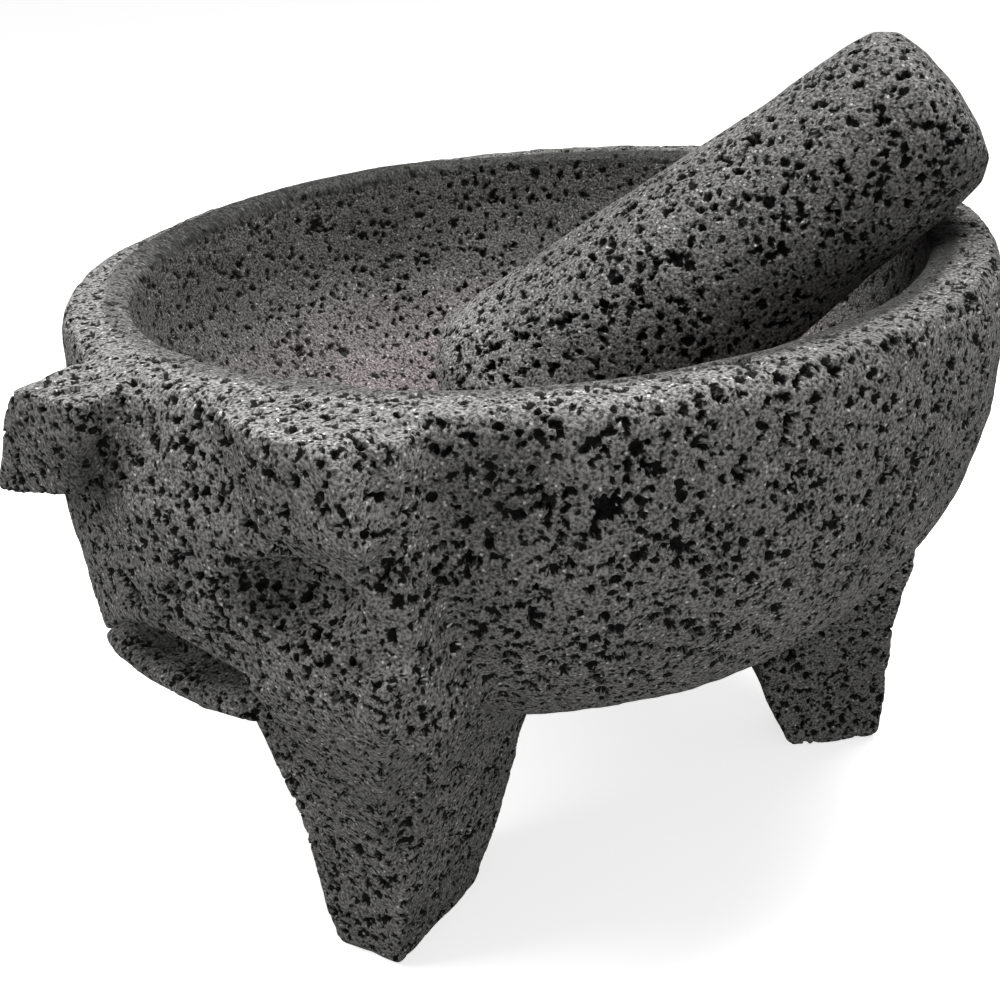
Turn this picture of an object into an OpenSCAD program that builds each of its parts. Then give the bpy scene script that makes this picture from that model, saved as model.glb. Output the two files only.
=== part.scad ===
// Pig-head molcajete: a three-legged stone mortar and its loose pestle.
// Millimetres. Floor at Z 0, bowl axis on Z, the pig's face towards -Y.

/* [Bowl] */
// height of the rim above the floor
rim_height = 140; // [110:1:170]
// outer radius at the rim
rim_radius = 100; // [80:1:130]
// width of the flat rim
rim_width = 13; // [8:0.5:20]
// widest radius of the outside
belly_radius = 101.5; // [82:0.5:132]
// height where the outside is widest
belly_height = 113; // [90:1:130]
// height of the underside at the middle
base_height = 50; // [35:1:60]
// depth of the hollow below the rim
hollow_depth = 64.7; // [50:0.5:75]
// worn bevel along the outer rim edge
rim_bevel = 1.5; // [0.5:0.5:4]

/* [Legs] */
// distance from the bowl axis to the outer face of a foot
foot_reach = 84; // [70:1:95]
// radial length of the front foot
front_foot_length = 32; // [20:1:40]
// radial length of a rear foot
rear_foot_length = 25; // [18:1:36]
// half width of a foot at the floor
foot_half_width = 9; // [7:0.5:14]
// half width of a leg where it enters the bowl
hip_half_width = 27; // [20:1:36]
// angle of the rear legs from the +X and -X sides
rear_leg_angle = 40; // [30:1:55]
// how far the front leg stands to the right of the face
front_leg_turn = 3; // [-6:0.5:6]

/* [Head] */
// half width of the face
face_half_width = 44; // [34:1:54]
// distance of the face from the bowl axis
face_reach = 109; // [104:0.5:116]
// height of the mouth line
mouth_height = 79; // [72:1:88]
// depth of the mouth recess
mouth_depth = 7; // [1:0.5:9]
// middle of the mouth, turned from the front of the face
mouth_turn = -10; // [-16:1:6]
// half width of the mouth as an angle about the bowl axis
mouth_half_angle = 15; // [8:1:20]
// underside of the lower jaw
jaw_height = 68; // [62:1:74]
// how far the ear tips stand out from the bowl axis
ear_reach = 110; // [104:1:118]
// half span of the ears at the rim
ear_half_span = 40; // [34:1:48]
// lowest point of the right ear, the one on the +X side
right_ear_height = 120; // [110:1:126]
// lowest point of the left ear
left_ear_height = 114; // [105:1:122]
// radius of the hollow under each ear
socket_radius = 15; // [10:1:20]

/* [Pestle] */
// length over both ends
pestle_length = 130; // [100:1:150]
// radius near the grinding end
grind_radius = 28.4; // [22:0.1:32]
// radius near the handle end
handle_radius = 19.8; // [15:0.1:25]
// direction the pestle leans, seen from above
lean_direction = 27.7; // [0:0.1:90]
// slope of the pestle above level
lean_slope = 36.7; // [20:0.1:60]
// middle of the grinding end, out along the lean direction
grind_end_out = -12.4; // [-30:0.1:20]
// middle of the grinding end above the floor
grind_end_up = 92.2; // [80:0.1:120]

/* [Hidden] */
inner_radius = rim_radius - rim_width;
base_curve = 0.62;
belly_curve = 1.185;
arc_step = 7.5;
stone = [0.25, 0.245, 0.24];
pestle_stone = [0.30, 0.29, 0.285];
hip_height = 76;
round_fn = 128;

// outside of the bowl from the belly down to the middle of the base
function outside(a) = [
    belly_radius * pow(cos(a), base_curve),
    belly_height - (belly_height - base_height) * pow(sin(a), belly_curve)
];

// hollow of the bowl from the middle up to the rim
function hollow(a) = [
    inner_radius * sin(a),
    rim_height - hollow_depth * cos(a)
];

module bowl() {
    down = [for (a = [0 : arc_step : 90]) outside(a)];
    up = [for (a = [0 : arc_step : 90]) hollow(a)];
    edge = [
        [rim_radius - rim_bevel, rim_height],
        [rim_radius + 0.5, rim_height - rim_bevel - 2],
        [belly_radius, belly_height + 11]
    ];
    rotate_extrude($fn = round_fn)
        polygon(concat(edge, down, up));
}

// one tapering leg standing along +X, its sole on the floor
module leg(foot_length) {
    heel = foot_reach - foot_length;
    side_view = [
        [heel + 3, 0],
        [foot_reach - 4, 0],
        [foot_reach, 4],
        [foot_reach, 42],
        [foot_reach + 1, 56],
        [foot_reach + 2, 66],
        [foot_reach + 1, hip_height],
        [70, hip_height],
        [36, 70],
        [heel * 0.5 + 13, 48],
        [heel - 7, 18],
        [heel, 3]
    ];
    w = foot_half_width;
    ankle = [[w - 2, 0], [w + 0.5, 3], [w + 3, 15], [w + 7, 35], [w + 11, 50]];
    edge = concat(ankle, [[hip_half_width, 62], [hip_half_width + 2, hip_height]]);
    last = len(edge) - 1;
    front_view = concat(edge, [for (i = [0 : last]) [-edge[last - i][0], edge[last - i][1]]]);
    intersection() {
        rotate([90, 0, 0])
            linear_extrude(height = 100, center = true)
                polygon(side_view);
        translate([20, 0, 0])
            rotate([90, 0, 90])
                linear_extrude(height = 100)
                    polygon(front_view);
    }
}

// the face: a block following the wall of the bowl, its throat running down to the front leg
module face() {
    side_view = [
        [-78, rim_height - 2],
        [-101, rim_height - 2],
        [-104, 122],
        [-face_reach + 1, 102],
        [-face_reach, 90],
        [-face_reach + 4, mouth_height],
        [-93, 66],
        [-86, 57],
        [-78, 55]
    ];
    front_view = [
        [-face_half_width, rim_height],
        [-face_half_width, mouth_height + 1],
        [-8, mouth_height + 1],
        [-8, 55],
        [24, 55],
        [32, 72],
        [face_half_width, 98],
        [face_half_width, rim_height]
    ];
    intersection() {
        rotate([90, 0, 90])
            linear_extrude(height = 2 * face_half_width, center = true)
                polygon(side_view);
        rotate([90, 0, 0])
            linear_extrude(height = 140)
                polygon(front_view);
        cylinder(h = rim_height, r = face_reach, $fn = round_fn);
    }
}

// lower jaw: a lip that stands out under the mouth
module jaw() {
    intersection() {
        translate([0, 0, jaw_height])
            cylinder(h = mouth_height - 2 - jaw_height, r1 = face_reach - 10, r2 = face_reach - 3, $fn = round_fn);
        rotate([0, 0, mouth_turn])
            translate([-26, -120, 0])
                cube([52, 50, 100]);
    }
}

// drooping ear on the +X side
module ear(low, flare) {
    top = rim_height - 1;
    plan = [
        [4, -88],
        [4, -99],
        [24, -ear_reach + 1],
        [28, -ear_reach],
        [ear_half_span + flare - 2, -ear_reach + 1],
        [ear_half_span + flare + 1, -ear_reach + 5],
        [ear_half_span + flare - 5, -80]
    ];
    front_view = [
        [4, top],
        [ear_half_span - 2, top],
        [ear_half_span, top - 2],
        [ear_half_span + flare, low + 3 + (11 - flare) * 0.6],
        [ear_half_span + flare - 1, low + (11 - flare) * 0.6],
        [ear_half_span - 10, low],
        [8, low + 6],
        [4, low + 9]
    ];
    intersection() {
        translate([0, 0, 100])
            linear_extrude(height = 45)
                polygon(plan);
        rotate([90, 0, 0])
            linear_extrude(height = 120)
                polygon(front_view);
    }
}

// what is chiselled out of the face
module face_cuts() {
    // eye sockets under the ears
    for (s = [-1, 1])
        translate([s * 31, -face_reach - 9, 108])
            sphere(r = socket_radius, $fn = 48);
    // pupil hollows
    for (s = [-1, 1])
        translate([s * 16, -face_reach, 108])
            sphere(r = 3, $fn = 32);
    // mouth, a wedge cut round the face between the snout and the jaw
    rotate([0, 0, mouth_turn - 90 - mouth_half_angle])
        rotate_extrude(angle = 2 * mouth_half_angle, $fn = round_fn)
            polygon([
                [face_reach - mouth_depth, mouth_height - 2],
                [face_reach + 10, mouth_height - 2],
                [face_reach + 10, mouth_height + 7],
                [face_reach - mouth_depth, mouth_height + 2]
            ]);
}

module mortar() {
    color(stone)
        union() {
            difference() {
                union() {
                    bowl();
                    face_block();
                }
                face_cuts();
                hollow_cut();
            }
            rotate([0, 0, front_leg_turn - 90]) leg(front_foot_length);
            rotate([0, 0, rear_leg_angle]) leg(rear_foot_length);
            rotate([0, 0, 180 - rear_leg_angle]) leg(rear_foot_length);
        }
}

// face, jaw and ears together
module face_block() {
    face();
    jaw();
    ear(right_ear_height, 4);
    mirror([1, 0, 0]) ear(left_ear_height, 11);
}

// keeps the face and ears out of the hollow of the bowl
module hollow_cut() {
    cavity = [for (a = [0 : arc_step : 90]) hollow(a)];
    rotate_extrude($fn = round_fn)
        polygon(concat(cavity, [[inner_radius, rim_height + 5], [0, rim_height + 5]]));
}

module pestle() {
    g = grind_radius;
    h = handle_radius;
    len = pestle_length;
    profile = [
        [0, 0],
        [g * 0.42, 0.8],
        [g * 0.70, 3],
        [g * 0.90, 7.5],
        [g, 16],
        [h + 0.4, len - 12],
        [h - 0.8, len - 6.5],
        [h * 0.80, len - 2.6],
        [h * 0.48, len - 0.7],
        [0, len]
    ];
    color(pestle_stone)
        translate([
            grind_end_out * cos(lean_direction),
            grind_end_out * sin(lean_direction),
            grind_end_up
        ])
            rotate([0, 90 - lean_slope, lean_direction])
                rotate_extrude($fn = 96)
                    polygon(profile);
}

mortar();
pestle();
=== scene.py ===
"""A pig-head molcajete carved from one block of porous basalt, with its loose pestle."""

import math

import bpy
from mathutils import Matrix, Vector


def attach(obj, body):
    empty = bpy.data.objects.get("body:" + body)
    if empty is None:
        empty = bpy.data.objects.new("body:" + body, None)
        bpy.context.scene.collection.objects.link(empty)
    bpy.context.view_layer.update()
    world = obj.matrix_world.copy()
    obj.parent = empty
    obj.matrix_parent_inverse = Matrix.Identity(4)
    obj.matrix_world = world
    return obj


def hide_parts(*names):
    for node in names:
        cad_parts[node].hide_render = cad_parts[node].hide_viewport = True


MM = 0.001

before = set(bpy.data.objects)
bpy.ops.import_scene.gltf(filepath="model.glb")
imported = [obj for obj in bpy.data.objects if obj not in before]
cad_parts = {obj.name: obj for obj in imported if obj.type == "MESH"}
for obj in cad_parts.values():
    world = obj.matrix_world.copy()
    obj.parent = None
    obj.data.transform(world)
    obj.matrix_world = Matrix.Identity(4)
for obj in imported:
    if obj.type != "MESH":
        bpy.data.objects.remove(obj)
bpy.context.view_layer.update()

# sizes of the carved block, in millimetres from the middle of the floor under the bowl
RIM_HEIGHT = 140
HOLLOW_RADIUS = 87
HOLLOW_DEPTH = 64.7
BELLY_RADIUS = 101.5
BELLY_HEIGHT = 113
BASE_HEIGHT = 50
FOOT_REACH = 84
REAR_LEG_ANGLE = 40
FRONT_LEG_ANGLE = -87
FRONT_FOOT_LENGTH = 32
REAR_FOOT_LENGTH = 25
FOOT_WIDTH = 17
FACE_REACH = 109
JAW_ANGLE = math.radians(-101)
JAW_HALF_WIDTH = 25.5

# the pestle's size and its lie in the bowl
PESTLE_LENGTH = 129
GRIND_RADIUS = 28.4
HANDLE_RADIUS = 19.8
LEAN_DIRECTION = math.radians(27.7)
LEAN_SLOPE = math.radians(36.7)
GRIND_END_OUT = -12.4
GRIND_END_UP = 92.2
GRIND_END = Vector((
    GRIND_END_OUT * math.cos(LEAN_DIRECTION), GRIND_END_OUT * math.sin(LEAN_DIRECTION), GRIND_END_UP))

# fineness of the stone's surface, how far its edges are worn round, and how deep the chisel's waves are
MORTAR_GRAIN = 0.6
PESTLE_GRAIN = 0.6
MORTAR_WEAR = 1.1
PESTLE_WEAR = 1.2
MORTAR_CHISEL = 0.6
PESTLE_CHISEL = 0.35

# directions of the cuts that part the mortar into sections, in degrees about the bowl's axis,
# and how far the wedge between two cuts reaches out
SECTION_CUTS = [-128, -98, -65, 0, 38, 78, 120, 152, 190]
WEDGE_REACH = 200

# bubbles in the stone: distance between neighbours, share that is open,
# smallest and largest radius, and the deepest that one goes
LARGE_BUBBLES = {"spacing": 9.5, "share": 0.8, "small": 0.95, "large": 2.4, "deep": 2.4}
MIDDLE_BUBBLES = {"spacing": 2.4, "share": 0.95, "small": 0.48, "large": 1.35, "deep": 1.8}
SMALL_BUBBLES = {"spacing": 1.3, "share": 0.75, "small": 0.24, "large": 0.5, "deep": 0.5}

# width of the broad and fine waves that the chisel leaves, and how much broader the rim is on the left
BROAD_WAVES = 26
FINE_WAVES = 7
LEFT_SWELL = 2.0

# how far a bubble's wall wanders, and how softly its edge falls away
WALL_CLOUDS = 2.8
WALL_WANDER = 1.7
WALL_RIPPLES = 1.3
EDGE_FALL = 0.45

# no part of the stone goes under the floor, and sideways there is no limit that it could reach
LOWEST = (-1, -1, 0)

# where the stone keeps its uncarved place, so that its colours line up with its hollows
UNCARVED = "whole_stone"

# the stone's grain, mottling and bright crystals: their width, and the share of crystals that shine
GRAIN_WIDTH = 0.6
MOTTLE_WIDTH = 24
CRYSTAL_WIDTH = 1.1
CRYSTAL_SHARE = 0.2

# patches of painted shade (darker) in the mouth, the eye socket, under the snout, beside the left ear, on
# the wall beside the right ear, on the right rear leg and at the front foot, and one of painted light
# (lighter) on the front leg: middle and reach, and the tone there
PAINTED_SHADE_AND_LIGHT_PATCHES = [
    ((-27, -97, 84), 14, 0.5),
    ((-8, -97, 84), 15, 0.5),
    ((15, -104, 108), 12, 0.62),
    ((-14, -108, 92), 15, 0.72),
    ((-22, -108, 125), 12, 0.5),
    ((62, 48, 32), 42, 0.78),
    ((0, -86, 14), 22, 0.82),
    ((25, -74, 35), 20, 1.15),
    ((52, -84, 129), 16, 0.65),
]


# ---------------------------------------------------------------- modelling


def clear_selection():
    """Nothing is selected and no piece is open for editing."""
    if bpy.context.object and bpy.context.object.mode != "OBJECT":
        bpy.ops.object.mode_set(mode="OBJECT")
    bpy.ops.object.select_all(action="DESELECT")


def pick(piece):
    """Only this piece is selected."""
    clear_selection()
    piece.select_set(True)
    bpy.context.view_layer.objects.active = piece
    return piece


def settle(piece):
    """The piece's place, turn and size go into its mesh."""
    pick(piece)
    bpy.ops.object.transform_apply(location=True, rotation=True, scale=True)
    return piece


def face_outwards(piece):
    """Every face of the piece points outwards."""
    pick(piece)
    bpy.ops.object.mode_set(mode="EDIT")
    bpy.ops.mesh.select_all(action="SELECT")
    bpy.ops.mesh.normals_make_consistent(inside=False)
    bpy.ops.object.mode_set(mode="OBJECT")
    return piece


def finish_shape(name):
    """Closes editing of the new piece and names it."""
    bpy.ops.object.mode_set(mode="OBJECT")
    piece = face_outwards(settle(bpy.context.object))
    piece.name = piece.data.name = name
    return piece


def apply_modifier(piece, kind, **settings):
    """Adds one modifier to the piece and applies it."""
    pick(piece)
    modifier = piece.modifiers.new(kind.title(), kind)
    for key, value in settings.items():
        setattr(modifier, key, value)
    bpy.ops.object.modifier_apply(modifier=modifier.name)
    return piece


def raised_round(name, rings, sides=128):
    """A round piece raised ring by ring. A ring is its radius and height."""
    clear_selection()
    radius, height = rings[0]
    bpy.ops.mesh.primitive_circle_add(
        vertices=sides, radius=radius * MM, fill_type="NGON",
        location=(0, 0, height * MM), enter_editmode=True)
    for new_radius, new_height in rings[1:]:
        rise = (new_height - height) * MM
        bpy.ops.mesh.extrude_region_move(TRANSFORM_OT_translate={"value": (0, 0, rise)})
        size = new_radius / radius
        bpy.ops.transform.resize(value=(size, size, 1), center_override=(0, 0, new_height * MM))
        radius, height = new_radius, new_height
    return finish_shape(name)


def raised_block(name, steps):
    """A four-sided piece raised in steps. A step is a height, then the block's x and y limits."""
    clear_selection()
    height, x0, x1, y0, y1 = steps[0]
    bpy.ops.mesh.primitive_plane_add(size=MM, location=(0, 0, height * MM), enter_editmode=True)
    bpy.ops.transform.resize(value=(x1 - x0, y1 - y0, 1), center_override=(0, 0, height * MM))
    bpy.ops.transform.translate(value=((x0 + x1) / 2 * MM, (y0 + y1) / 2 * MM, 0))
    for new in steps[1:]:
        z, a0, a1, b0, b1 = new
        shift = ((a0 + a1 - x0 - x1) / 2 * MM, (b0 + b1 - y0 - y1) / 2 * MM, (z - height) * MM)
        bpy.ops.mesh.extrude_region_move(TRANSFORM_OT_translate={"value": shift})
        middle = ((a0 + a1) / 2 * MM, (b0 + b1) / 2 * MM, z * MM)
        bpy.ops.transform.resize(
            value=((a1 - a0) / (x1 - x0), (b1 - b0) / (y1 - y0), 1), center_override=middle)
        height, x0, x1, y0, y1 = new
    return finish_shape(name)


def pebble(name, centre, size, turned=0):
    """An egg-shaped piece, for hollows and swellings. Size is its half lengths."""
    clear_selection()
    bpy.ops.mesh.primitive_ico_sphere_add(subdivisions=4, radius=MM, location=[v * MM for v in centre])
    piece = bpy.context.object
    piece.scale = size
    piece.rotation_euler = (0, 0, math.radians(turned))
    piece.name = name
    return settle(piece)


def trim(piece, point, outward):
    """Saws off what lies beyond a plane and closes the cut."""
    pick(piece)
    bpy.ops.object.mode_set(mode="EDIT")
    bpy.ops.mesh.select_all(action="SELECT")
    bpy.ops.mesh.bisect(
        plane_co=[v * MM for v in point], plane_no=outward, use_fill=True, clear_outer=True)
    bpy.ops.object.mode_set(mode="OBJECT")
    return piece


def turn(piece, degrees):
    """Turns the piece about the bowl's axis."""
    piece.rotation_euler = (0, 0, math.radians(degrees))
    return settle(piece)


def tilt(piece, degrees, pivot):
    """Tips the piece about a line along Y through the pivot."""
    pivot = Vector(pivot) * MM
    tip = Matrix.Rotation(math.radians(degrees), 4, "Y")
    piece.matrix_world = Matrix.Translation(pivot) @ tip @ Matrix.Translation(-pivot)
    return settle(piece)


def combine(piece, other, how):
    """Joins, cuts or intersects two solids and throws the second away."""
    apply_modifier(piece, "BOOLEAN", object=other, operation=how, solver="EXACT")
    bpy.data.objects.remove(other)
    return piece


def grow_together(name, shapes, grain, wear):
    """Grows overlapping shapes into one solid and wears its edges round."""
    clear_selection()
    for shape in shapes:
        shape.select_set(True)
    bpy.context.view_layer.objects.active = shapes[0]
    if len(shapes) > 1:
        bpy.ops.object.join()
    block = bpy.context.object
    block.name = block.data.name = name
    apply_modifier(block, "REMESH", mode="VOXEL", voxel_size=grain * MM)
    apply_modifier(block, "SMOOTH", factor=0.5, iterations=round(4 * (wear / grain) ** 2))
    return block


# ---------------------------------------------------------------- small node helpers


def feed(tree, socket, value):
    """Links a socket, or sets its value."""
    if isinstance(value, bpy.types.NodeSocket):
        tree.links.new(value, socket)
    else:
        socket.default_value = value


def put(tree, kind, inputs, **settings):
    """A new node with its settings and inputs filled in."""
    node = tree.nodes.new(kind)
    for key, value in settings.items():
        setattr(node, key, value)
    for key, value in inputs.items():
        feed(tree, node.inputs[key], value)
    return node


def calc(tree, how, *values):
    """A sum, product or other calculation of numbers."""
    return put(tree, "ShaderNodeMath", dict(enumerate(values)), operation=how).outputs[0]


def calc_vector(tree, how, *values, result="Vector"):
    """A sum, product or other calculation of vectors."""
    return put(tree, "ShaderNodeVectorMath", dict(enumerate(values)), operation=how).outputs[result]


def fade(tree, value, start, end, low=0.0, high=1.0):
    """Fades softly from low to high while the value goes from start to end."""
    inputs = {"Value": value, "From Min": start, "From Max": end, "To Min": low, "To Max": high}
    return put(tree, "ShaderNodeMapRange", inputs, interpolation_type="SMOOTHSTEP").outputs["Result"]


def noise(tree, place, size, detail=2.0, output="Fac"):
    """Cloudy noise. Size is about the width of one cloud, in millimetres."""
    inputs = {"Vector": place, "Scale": 1 / (size * MM), "Detail": detail}
    return put(tree, "ShaderNodeTexNoise", inputs).outputs[output]


def apply_nodes(piece, tree):
    """Runs a geometry node tree on the piece and applies it."""
    pick(piece)
    modifier = piece.modifiers.new("Nodes", "NODES")
    modifier.node_group = tree
    bpy.ops.object.modifier_apply(modifier=modifier.name)
    return piece


def group(name, kind, inputs, outputs):
    """A new node group with its sockets. A socket is a name, a type and, for an input, its value."""
    tree = bpy.data.node_groups.new(name, kind)
    for label, socket_type, value in inputs:
        socket = tree.interface.new_socket(label, in_out="INPUT", socket_type=socket_type)
        if value is not None:
            socket.default_value = value
    for label, socket_type in outputs:
        tree.interface.new_socket(label, in_out="OUTPUT", socket_type=socket_type)
    return tree, tree.nodes.new("NodeGroupInput"), tree.nodes.new("NodeGroupOutput")


# ---------------------------------------------------------------- bubbles in the stone


def ragged(tree, place):
    """Shifts places a little, so that round bubbles get ragged walls, and makes bubbles vary in width."""
    wander = calc_vector(tree, "SUBTRACT", noise(tree, place, WALL_CLOUDS, 2.0, "Color"), (0.5, 0.5, 0.5))
    reach = calc_vector(tree, "SCALE", wander)
    reach.node.inputs["Scale"].default_value = WALL_WANDER * MM
    wobble = fade(tree, noise(tree, place, WALL_RIPPLES, 2.0), 0.25, 0.75, -1.0, 1.0)
    return calc_vector(tree, "ADD", place, reach), wobble


def bubbles(tree, place, wobble, worn, spacing, share, small, large, deep):
    """Scatters bubbles. Returns how far a place is from the nearest one, its middle and its radius."""
    inputs = {"Vector": place, "Scale": 1 / (spacing * MM)}
    cells = put(tree, "ShaderNodeTexVoronoi", inputs, voronoi_dimensions="3D", feature="F1")
    away = calc(tree, "MULTIPLY", cells.outputs["Distance"], spacing * MM)
    luck = put(tree, "ShaderNodeSeparateXYZ", {"Vector": cells.outputs["Color"]})
    is_open = calc(tree, "LESS_THAN", luck.outputs["X"], share)
    spread = calc(tree, "POWER", luck.outputs["Y"], 1.4)
    radius = calc(tree, "MULTIPLY_ADD", spread, (large - small) * MM, small * MM)
    shrink = calc(tree, "MULTIPLY_ADD", worn, -0.15, 1.0)
    radius = calc(tree, "MULTIPLY", calc(tree, "MULTIPLY", radius, is_open), shrink)
    radius = calc(tree, "MULTIPLY_ADD", wobble, small * 1.2 * MM, radius)
    return away, cells.outputs["Position"], radius


def grinding_wear(tree, place):
    """1 on the hollow of the bowl, where grinding has smoothed the stone, and 0 elsewhere."""
    part = put(tree, "ShaderNodeSeparateXYZ", {"Vector": place})
    x = calc(tree, "DIVIDE", part.outputs["X"], HOLLOW_RADIUS * MM)
    y = calc(tree, "DIVIDE", part.outputs["Y"], HOLLOW_RADIUS * MM)
    down = calc(tree, "SUBTRACT", RIM_HEIGHT * MM, part.outputs["Z"])
    z = calc(tree, "DIVIDE", down, HOLLOW_DEPTH * MM)
    out = calc(tree, "ADD", calc(tree, "MULTIPLY", x, x), calc(tree, "MULTIPLY", y, y))
    # out is 1 on the hollow itself and grows into the wall and over the rim
    out = calc(tree, "MULTIPLY_ADD", z, z, out)
    return fade(tree, out, 1.09, 1.17, 1.0, 0.0)


def pit_depth(tree, place, wobble, normal, worn, kind):
    """How deep the open bubbles go below the surface."""
    away, middle, radius = bubbles(tree, place, wobble, worn, **kind)
    offset = calc_vector(tree, "SUBTRACT", place, middle)
    above = calc_vector(tree, "DOT_PRODUCT", normal, offset, result="Value")
    room = calc(tree, "MULTIPLY", above, above)
    room = calc(tree, "MULTIPLY_ADD", radius, radius, room)
    room = calc(tree, "SUBTRACT", room, calc(tree, "MULTIPLY", away, away))
    depth = calc(tree, "ADD", above, calc(tree, "SQRT", calc(tree, "MAXIMUM", room, 0.0)))
    depth = calc(tree, "MINIMUM", depth, kind["deep"] * MM)
    edge = fade(tree, calc(tree, "SUBTRACT", radius, away), 0.0, EDGE_FALL * MM)
    return calc(tree, "MULTIPLY", depth, edge)


def carve_bubbles(piece, chisel, is_mortar):
    """Gives the piece an uneven chiselled surface and opens the bubbles in it."""
    geometry = [("Geometry", "NodeSocketGeometry", None)]
    tree, source, result = group(
        "bubbles_" + piece.name, "GeometryNodeTree", geometry, [("Geometry", "NodeSocketGeometry")])
    place = tree.nodes.new("GeometryNodeInputPosition").outputs[0]
    normal = tree.nodes.new("GeometryNodeInputNormal").outputs[0]
    worn = grinding_wear(tree, place) if is_mortar else 0.0
    rough = calc(tree, "MULTIPLY_ADD", worn, -0.6, 1.0)
    broad = calc(tree, "SUBTRACT", noise(tree, place, BROAD_WAVES, 1.0), 0.5)
    fine = calc(tree, "SUBTRACT", noise(tree, place, FINE_WAVES, 2.0), 0.5)
    waves = calc(tree, "ADD", calc(tree, "MULTIPLY", broad, chisel * MM * 3),
                 calc(tree, "MULTIPLY", fine, chisel * MM * 1.5))
    waves = calc(tree, "MULTIPLY", waves, rough)
    if is_mortar:
        part = put(tree, "ShaderNodeSeparateXYZ", {"Vector": place})
        to_left = fade(tree, part.outputs["X"], -55 * MM, -82 * MM, 0.0, LEFT_SWELL * MM)
        to_rim = fade(tree, part.outputs["Z"], 112 * MM, 134 * MM)
        swell = calc(tree, "MULTIPLY", to_left, to_rim)
        waves = calc(tree, "MULTIPLY_ADD", swell, worn, waves)
    uneven, wobble = ragged(tree, place)
    depth = 0.0
    for kind in (LARGE_BUBBLES, MIDDLE_BUBBLES):
        depth = calc(tree, "MAXIMUM", depth, pit_depth(tree, uneven, wobble, normal, worn, kind))
    height = calc(tree, "SUBTRACT", waves, depth)
    shift = calc_vector(tree, "SCALE", normal)
    feed(tree, shift.node.inputs["Scale"], height)
    kept = put(tree, "GeometryNodeStoreNamedAttribute", {
        "Geometry": source.outputs[0], "Name": UNCARVED, "Value": place}, data_type="FLOAT_VECTOR")
    spot = calc_vector(tree, "MAXIMUM", calc_vector(tree, "ADD", place, shift), LOWEST)
    moved = put(tree, "GeometryNodeSetPosition", {"Geometry": kept.outputs[0], "Position": spot})
    feed(tree, result.inputs[0], moved.outputs[0])
    return apply_nodes(piece, tree)


# ---------------------------------------------------------------- stone finishes


def make_stone_group():
    """Colours and bumps of porous basalt: open bubbles painted near black as painted shade, grain,
    crystals and mottling.
    """
    tree, source, result = group(
        "porous_basalt", "ShaderNodeTree",
        [("Place", "NodeSocketVector", None), ("Worn", "NodeSocketFloat", 0.0),
         ("Warm", "NodeSocketFloat", 0.0), ("Lightness", "NodeSocketFloat", 1.0),
         ("Stone", "NodeSocketColor", (0.2, 0.2, 0.2, 1)), ("Pit Shade", "NodeSocketFloat", 0.025)],
        [("Color", "NodeSocketColor"), ("Roughness", "NodeSocketFloat"), ("Height", "NodeSocketFloat")])
    place, worn = source.outputs["Place"], source.outputs["Worn"]
    uneven, wobble = ragged(tree, place)
    # the open bubbles are painted near black: painted shade inside the holes
    painted_pit_shade = 0.0
    for kind in (LARGE_BUBBLES, MIDDLE_BUBBLES, SMALL_BUBBLES):
        away, middle, radius = bubbles(tree, uneven, wobble, worn, **kind)
        inside = calc(tree, "SUBTRACT", away, radius)
        pits = fade(tree, inside, -0.2 * MM, 0.12 * MM, 1.0, 0.0)
        painted_pit_shade = calc(tree, "MAXIMUM", painted_pit_shade, pits)

    # grain, from light and dark minerals down to tiny bright crystals
    grain = noise(tree, place, GRAIN_WIDTH, 2.0)
    clouds = noise(tree, place, MOTTLE_WIDTH, 2.0)
    tone = calc(tree, "MULTIPLY", fade(tree, grain, 0.3, 0.72, 0.35, 1.9),
                fade(tree, clouds, 0.3, 0.7, 0.9, 1.1))
    crystals = put(tree, "ShaderNodeTexVoronoi", {"Vector": place, "Scale": 1 / (CRYSTAL_WIDTH * MM)})
    luck = put(tree, "ShaderNodeSeparateXYZ", {"Vector": crystals.outputs["Color"]})
    shine = calc(tree, "MULTIPLY", calc(tree, "LESS_THAN", luck.outputs["X"], CRYSTAL_SHARE),
                 fade(tree, crystals.outputs["Distance"], 0.16, 0.34, 1.0, 0.0))
    tone = calc(tree, "MULTIPLY_ADD", shine, 2.4, tone)
    tone = calc(tree, "MULTIPLY", tone, source.outputs["Lightness"])
    # the painted shade in the bubbles is a little lighter where the hollow is worn
    pit_shade_tone = calc(tree, "MULTIPLY_ADD", worn, 0.12, source.outputs["Pit Shade"])
    tone = put(tree, "ShaderNodeMix", {"Factor": painted_pit_shade, "A": tone, "B": pit_shade_tone}, data_type="FLOAT")
    tone = tone.outputs["Result"]

    tint = put(tree, "ShaderNodeMix", {
        "Factor": source.outputs["Warm"], 6: source.outputs["Stone"], 7: (0.22, 0.19, 0.19, 1)},
        data_type="RGBA").outputs[2]
    colour = calc_vector(tree, "SCALE", tint)
    feed(tree, colour.node.inputs["Scale"], tone)
    feed(tree, result.inputs["Color"], colour)
    feed(tree, result.inputs["Roughness"], fade(tree, grain, 0.3, 0.7, 0.95, 0.72))
    # the last and smallest bubbles aren't carved, so they dent the bump
    small_dents = calc(tree, "MULTIPLY", pits, -0.5)
    feed(tree, result.inputs["Height"], calc(tree, "MULTIPLY_ADD", grain, 0.5, small_dents))
    return tree


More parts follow.
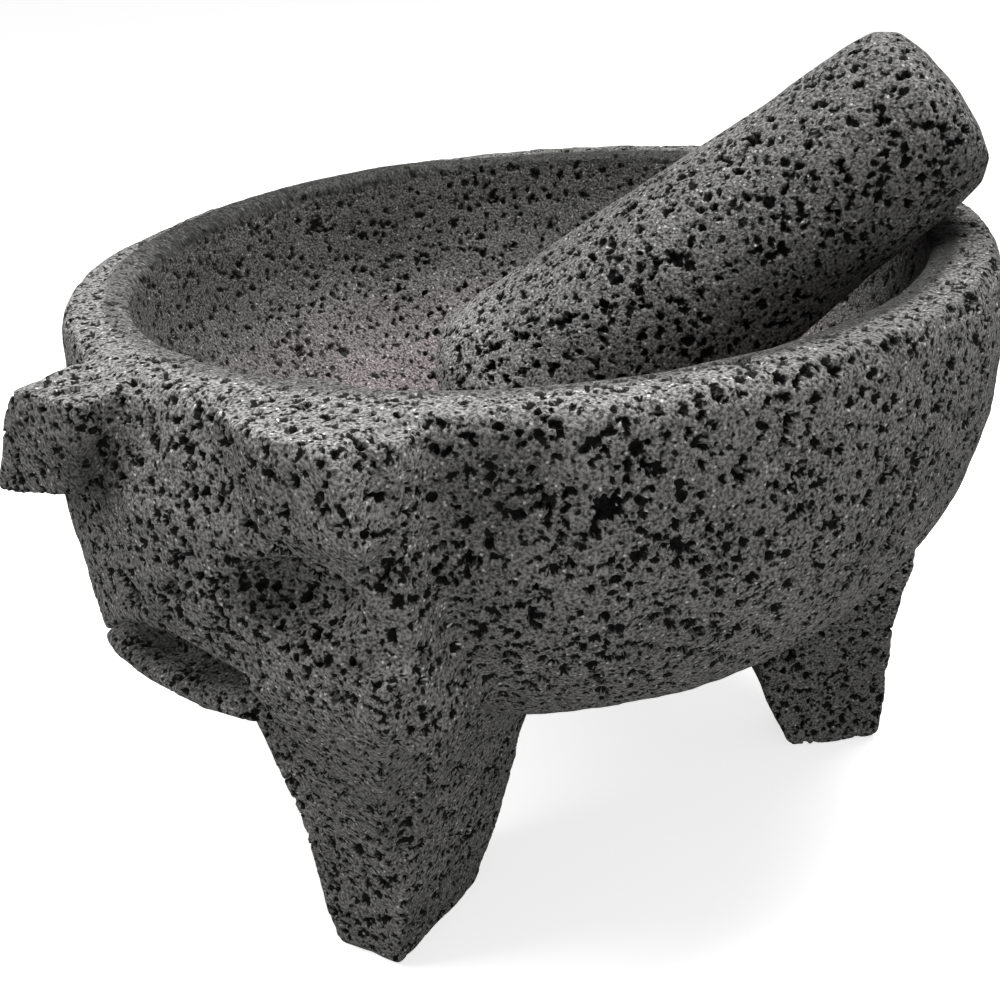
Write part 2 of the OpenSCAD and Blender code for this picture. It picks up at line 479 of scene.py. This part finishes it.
def make_stone(name, stone_group, colour, is_mortar):
    """A finish of porous basalt; on the mortar it also carries painted shade and painted light by place.
    """
    material = bpy.data.materials.new(name)
    material.use_nodes = True
    tree = material.node_tree
    shader = tree.nodes["Principled BSDF"]
    place = put(tree, "ShaderNodeAttribute", {}, attribute_name=UNCARVED).outputs["Vector"]
    stone = tree.nodes.new("ShaderNodeGroup")
    stone.node_tree = stone_group
    feed(tree, stone.inputs["Place"], place)
    stone.inputs["Stone"].default_value = (*colour, 1)
    if is_mortar:
        worn = grinding_wear(tree, place)
        part = put(tree, "ShaderNodeSeparateXYZ", {"Vector": place})
        height = part.outputs["Z"]
        # painted shade: the hollow is darker towards its rim; painted light and shade on the rim's flat
        # top: lightest over the face and darker towards the back
        deep = calc(tree, "MULTIPLY", worn, fade(tree, height, 125 * MM, 80 * MM, -0.5, 0.0))
        rim_painted_light = fade(tree, part.outputs["Y"], -20 * MM, -80 * MM, -0.32, 0.1)
        rim_painted_light = calc(tree, "MULTIPLY", rim_painted_light, fade(tree, height, 137.5 * MM, 139 * MM))
        lightness = calc(tree, "ADD", calc(tree, "ADD", deep, rim_painted_light), 1.0)
        # painted shade and painted light, one patch at a time
        for middle, reach, tone in PAINTED_SHADE_AND_LIGHT_PATCHES:
            near = calc_vector(tree, "DISTANCE", place, Vector(middle) * MM, result="Value")
            painted_patch = fade(tree, near, reach * MM * 0.3, reach * MM, tone, 1.0)
            lightness = calc(tree, "MULTIPLY", lightness, painted_patch)
        feed(tree, stone.inputs["Worn"], worn)
        feed(tree, stone.inputs["Lightness"], lightness)
        feed(tree, stone.inputs["Warm"], fade(tree, height, 120 * MM, 85 * MM, 0.0, worn))
    else:
        from_end = calc_vector(tree, "DISTANCE", place, GRIND_END * MM, result="Value")
        feed(tree, stone.inputs["Lightness"], fade(tree, from_end, 50 * MM, 20 * MM, 1.0, 1.8))
    bump = put(tree, "ShaderNodeBump", {"Height": stone.outputs["Height"], "Distance": MM})
    feed(tree, shader.inputs["Base Color"], stone.outputs["Color"])
    feed(tree, shader.inputs["Roughness"], stone.outputs["Roughness"])
    feed(tree, shader.inputs["Normal"], bump.outputs["Normal"])
    shader.inputs["Specular IOR Level"].default_value = 0.3
    return material


# ---------------------------------------------------------------- the carved block


def outside_ring(a):
    """Outside of the bowl, from the belly at 0 degrees to the middle of the base at 90."""
    a = math.radians(a)
    return (BELLY_RADIUS * math.cos(a) ** 0.62,
            BELLY_HEIGHT - (BELLY_HEIGHT - BASE_HEIGHT) * math.sin(a) ** 1.185)


def hollow_ring(a):
    """Hollow of the bowl, from the middle at 0 degrees to the rim at 90."""
    a = math.radians(a)
    return HOLLOW_RADIUS * math.sin(a), RIM_HEIGHT - HOLLOW_DEPTH * math.cos(a)


def make_bowl():
    """The bowl, raised from its base, over the rim and down into the hollow."""
    rings = [outside_ring(a) for a in (89, 86, 82, 76, 70, 63, 56, 49, 42, 35, 28, 21, 14, 7, 0)]
    rings += [(102, 120), (101.8, 130), (101.2, 137), (99.5, 140.3), (97, 140.6)]
    rings += [(90, 140.4), (87.2, 139.5)]
    rings += [hollow_ring(a) for a in (86, 80, 73, 66, 59, 52, 45, 38, 31, 24, 17, 10, 4)]
    return raised_round("bowl", rings)


def make_leg(name, angle, foot_length):
    """A leg that stands along +X and is then turned to its place."""
    heel = FOOT_REACH - foot_length
    wide = FOOT_WIDTH / 2
    steps = [
        (0, heel + 2, FOOT_REACH - 1.6, -wide + 1, wide - 1),
        (2, heel + 0.3, FOOT_REACH + 0.2, -wide, wide),
        (6, heel - 1, FOOT_REACH + 0.5, -wide - 0.7, wide + 0.7),
        (15, heel - 5, FOOT_REACH + 0.5, -wide - 2.5, wide + 3),
        (26, heel - 8, FOOT_REACH + 0.3, -wide - 4.5, wide + 5.5),
        (38, heel - 10, FOOT_REACH, -wide - 7, wide + 8.5),
        (50, heel - 13, FOOT_REACH + 0.5, -wide - 11, wide + 12),
        (60, heel - 17, FOOT_REACH + 0.5, -wide - 16, wide + 17),
        (70, heel - 18, FOOT_REACH, -wide - 20, wide + 20),
        (76, heel - 16, FOOT_REACH - 1, -wide - 21, wide + 21),
    ]
    return turn(raised_block(name, steps), angle)


def make_face():
    """The pig's face: a block that follows the wall of the bowl, with the eyes hollowed out."""
    block = raised_block("face", [
        (80, -35.5, 44, -101.5, -70),
        (84, -38.5, 44, -104, -70),
        (92, -44.5, 44, -107, -70),
        (106, -48.8, 44, -109.5, -70),
        (119, -46.5, 44, -108.5, -74),
        (130, -42, 44, -104.5, -80),
        (138.5, -36, 44, -101, -84),
    ])
    combine(block, raised_round("barrel", [(FACE_REACH, 70), (FACE_REACH, 150)]), "INTERSECT")
    combine(block, pebble("right_eye", (26, -113.5, 109), (14, 17.5, 9.5), 14), "DIFFERENCE")
    combine(block, pebble("left_eye", (-31, -117, 108), (12, 14, 9), -14), "DIFFERENCE")
    combine(block, pebble("right_pupil", (16, -108, 111), (3, 4, 5)), "DIFFERENCE")
    mouth = raised_block("mouth", [
        (78, -44, 12, -125, -96),
        (82, -42, 11, -125, -96.5),
        (87, -34, 6, -125, -98),
        (92.5, -22, -8, -125, -101),
    ])
    combine(block, tilt(mouth, -6, (-18, 0, 79)), "DIFFERENCE")
    for nostril in ((-5, -107, 104.5), (-18, -106, 99)):
        combine(block, pebble("nostril", nostril, (2.2, 4, 2.6)), "DIFFERENCE")
    return block


def make_throat():
    """The throat under the right of the face, running down into the front leg."""
    return raised_block("throat", [
        (24, -7, 16, -84.5, -60),
        (40, 0, 19, -88, -60),
        (52, 3, 23, -92.5, -60),
        (62, 4.5, 28, -96.5, -60),
        (70, 6, 32, -99.5, -60),
        (78, 8, 36, -103, -60),
        (88, 8, 42, -107, -60),
        (98, 8, 44, -107.5, -60),
    ])


def make_jaw():
    """The lower jaw: a lip that stands out under the mouth."""
    rings = [(90, 70.5), (98, 71.5), (104, 74), (107.4, 77), (107.6, 79.5), (105, 80.8), (100, 80)]
    lip = raised_round("jaw", rings)
    for side in (-1, 1):
        outward = Vector((-math.sin(JAW_ANGLE), math.cos(JAW_ANGLE), 0)) * side
        trim(lip, Vector((0, 0, 72)) + outward * JAW_HALF_WIDTH, outward)
    trim(lip, (0, -66, 72), (0, 1, 0))
    return tilt(lip, -4.5, (-20, 0, 76))


def make_right_ear():
    """The right ear hangs from the rim with its tip turned down."""
    ear = raised_block("right_ear", [
        (119, 14, 41, -106, -84),
        (123, 10, 43, -108.5, -84),
        (130, 7, 42, -109, -84),
        (137, 8, 40.5, -108.5, -84),
        (140.3, 10, 39, -107.5, -84),
    ])
    trim(ear, (24, -109.3, 130), (-0.35, -0.94, 0))
    return trim(ear, (30, -108, 119), (-0.25, -0.2, -0.9))


def make_left_ear():
    """The left ear stands out to the side as it hangs."""
    ear = raised_block("left_ear", [
        (114.5, -49, -27, -110, -84),
        (117, -49, -25, -111, -84),
        (126, -44.5, -21, -111.5, -84),
        (136, -38, -17.5, -112, -84),
        (139.5, -35.5, -17, -111.5, -84),
    ])
    trim(ear, (-18.2, -112, 139), (0.88, -0.44, -0.2))
    return trim(ear, (-38, -110, 117.5), (0.17, 0, -1))


def make_mortar():
    """All the rough shapes grown into one carved block."""
    shapes = [
        make_bowl(),
        make_leg("front_leg", FRONT_LEG_ANGLE, FRONT_FOOT_LENGTH),
        make_leg("right_leg", REAR_LEG_ANGLE, REAR_FOOT_LENGTH),
        make_leg("left_leg", 180 - REAR_LEG_ANGLE, REAR_FOOT_LENGTH),
        make_face(),
        make_throat(),
        make_jaw(),
        make_right_ear(),
        make_left_ear(),
    ]
    block = grow_together("mortar_block", shapes, MORTAR_GRAIN, MORTAR_WEAR)
    return carve_bubbles(block, MORTAR_CHISEL, True)


def mend_seam(section):
    """Corners made by the saw cuts have no uncarved place, so they take their own."""
    tree, source, result = group(
        "seam_" + section.name, "GeometryNodeTree", [("Geometry", "NodeSocketGeometry", None)],
        [("Geometry", "NodeSocketGeometry")])
    place = tree.nodes.new("GeometryNodeInputPosition").outputs[0]
    kept = put(tree, "GeometryNodeInputNamedAttribute", {"Name": UNCARVED}, data_type="FLOAT_VECTOR")
    away = calc_vector(tree, "DISTANCE", place, kept.outputs["Attribute"], result="Value")
    lost = calc(tree, "GREATER_THAN", away, 5 * MM)
    mended = put(tree, "GeometryNodeStoreNamedAttribute", {
        "Geometry": source.outputs[0], "Selection": lost, "Name": UNCARVED, "Value": place},
        data_type="FLOAT_VECTOR")
    feed(tree, result.inputs[0], mended.outputs[0])
    return apply_nodes(section, tree)


def smooth(piece):
    """Smooth shading over all but the sharpest edges."""
    pick(piece)
    bpy.ops.object.shade_smooth_by_angle(angle=math.radians(60))


def split_mortar(block, cuts):
    """Parts the block along planes through its axis, so that no piece gets too heavy."""
    sections = []
    far = WEDGE_REACH
    smooth(block)
    for index, start in enumerate(cuts):
        end = cuts[(index + 1) % len(cuts)]
        wedge = raised_block("wedge", [(-20, -far, far, -far, far), (180, -far, far, -far, far)])
        for angle, side in ((start, 1), (end, -1)):
            a = math.radians(angle)
            trim(wedge, (0, 0, 0), (side * math.sin(a), -side * math.cos(a), 0))
        pick(block)
        bpy.ops.object.duplicate()
        section = bpy.context.object
        section.name = section.data.name = f"mortar_section_{index + 1}"
        apply_modifier(section, "BOOLEAN", object=wedge, operation="INTERSECT", solver="MANIFOLD")
        bpy.data.objects.remove(wedge)
        sections.append(mend_seam(section))
    bpy.data.objects.remove(block)
    return sections


# ---------------------------------------------------------------- the pestle


def make_pestle():
    """The pestle, turned upright, then laid in the bowl."""
    g, h, long = GRIND_RADIUS, HANDLE_RADIUS, PESTLE_LENGTH
    rings = [
        (g * 0.36, 0.4), (g * 0.66, 2.2), (g * 0.86, 5.8), (g * 0.97, 11), (g, 16), (g * 0.97, 30),
        (g * 0.88, 62), (h + 1.6, 95), (h + 0.4, long - 12), (h - 0.6, long - 6.5),
        (h * 0.8, long - 2.6), (h * 0.48, long - 0.7), (h * 0.12, long),
    ]
    pestle = raised_round("pestle_stone", rings, 96)
    pestle.rotation_euler = (0, math.pi / 2 - LEAN_SLOPE, LEAN_DIRECTION)
    pestle.location = GRIND_END * MM
    settle(pestle)
    grow_together("pestle_stone", [pestle], PESTLE_GRAIN, PESTLE_WEAR)
    return carve_bubbles(pestle, PESTLE_CHISEL, False)


# ---------------------------------------------------------------- building the scene


def finish_piece(piece, material, body):
    """The stone finish, and the piece's place among the frame's bodies."""
    piece.data.materials.clear()
    piece.data.materials.append(material)
    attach(piece, body)
    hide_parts(body)


stone_group = make_stone_group()
mortar_stone = make_stone("mortar_basalt", stone_group, (0.2, 0.197, 0.191), True)
pestle_stone = make_stone("pestle_basalt", stone_group, (0.14, 0.138, 0.134), False)

for section in split_mortar(make_mortar(), SECTION_CUTS):
    finish_piece(section, mortar_stone, "mortar")
pestle = make_pestle()
smooth(pestle)
finish_piece(pestle, pestle_stone, "pestle")


# ---------------------------------------------------------------- camera, light and floor

# the camera's place in metres, its lens and sensor in millimetres, and how it is turned
CAMERA_PLACE = Vector((0.1763, -0.2427, 0.2218))
CAMERA_LENS = 49.1
CAMERA_SENSOR = 36
CAMERA_HEADING = math.radians(37.97)
CAMERA_DIP = math.radians(25.79)
CAMERA_ROLL = math.radians(-4.98)

# the floor lies a hair under the feet
FLOOR_SIZE = 12
FLOOR_HEIGHT = -0.0002


def set_camera():
    """Looks down on the face and the pestle from the front right."""
    data = bpy.data.cameras.new("camera")
    data.lens, data.sensor_width = CAMERA_LENS, CAMERA_SENSOR
    camera = bpy.data.objects.new("camera", data)
    bpy.context.scene.collection.objects.link(camera)
    heading = Matrix.Rotation(CAMERA_HEADING, 4, "Z")
    dip = Matrix.Rotation(math.pi / 2 - CAMERA_DIP, 4, "X")
    roll = Matrix.Rotation(CAMERA_ROLL, 4, "Z")
    camera.matrix_world = Matrix.Translation(CAMERA_PLACE) @ heading @ dip @ roll
    bpy.context.scene.camera = camera


def add_light(name, place, aim, size, power):
    """A soft square light."""
    data = bpy.data.lights.new(name, "AREA")
    data.energy, data.size = power, size
    lamp = bpy.data.objects.new(name, data)
    bpy.context.scene.collection.objects.link(lamp)
    lamp.location = place
    lamp.rotation_mode = "QUATERNION"
    lamp.rotation_quaternion = (Vector(aim) - Vector(place)).to_track_quat("-Z", "Y")


def set_light():
    """Soft light from above and a surround that looks white and lights the stone dimly."""
    world = bpy.data.worlds.new("studio")
    bpy.context.scene.world = world
    world.use_nodes = True
    tree = world.node_tree
    seen = tree.nodes.new("ShaderNodeLightPath").outputs["Is Camera Ray"]
    surround = tree.nodes["Background"]
    surround.inputs["Color"].default_value = (1, 1, 1, 1)
    feed(tree, surround.inputs["Strength"], fade(tree, seen, 0.0, 1.0, 0.26, 1.0))
    add_light("overhead", (0.05, 0.12, 0.8), (0, 0, 0.1), 0.5, 7.9)
    add_light("front_left", (-0.6, -0.75, 0.85), (0, 0, 0.08), 0.35, 3.9)
    add_light("front_right", (0.9, -0.7, 0.12), (0, 0, 0.08), 0.4, 2.3)
    bpy.context.scene.view_settings.view_transform = "Standard"


def add_floor():
    """A white floor that doesn't throw much light back on the stone."""
    clear_selection()
    bpy.ops.mesh.primitive_plane_add(size=FLOOR_SIZE, location=(0, 0, FLOOR_HEIGHT))
    floor = bpy.context.object
    floor.name = "floor"
    material = bpy.data.materials.new("floor_white")
    material.use_nodes = True
    tree = material.node_tree
    shader = tree.nodes["Principled BSDF"]
    seen = tree.nodes.new("ShaderNodeLightPath").outputs["Is Camera Ray"]
    shade = put(tree, "ShaderNodeMix", {
        "Factor": seen, 6: (0.3, 0.3, 0.3, 1), 7: (0.95, 0.95, 0.95, 1)}, data_type="RGBA")
    glow = put(tree, "ShaderNodeMix", {
        "Factor": seen, 6: (0, 0, 0, 1), 7: (0.72, 0.72, 0.72, 1)}, data_type="RGBA")
    feed(tree, shader.inputs["Base Color"], shade.outputs[2])
    feed(tree, shader.inputs["Emission Color"], glow.outputs[2])
    shader.inputs["Emission Strength"].default_value = 1
    shader.inputs["Roughness"].default_value = 1
    shader.inputs["Specular IOR Level"].default_value = 0
    floor.data.materials.append(material)


set_camera()
set_light()
add_floor()
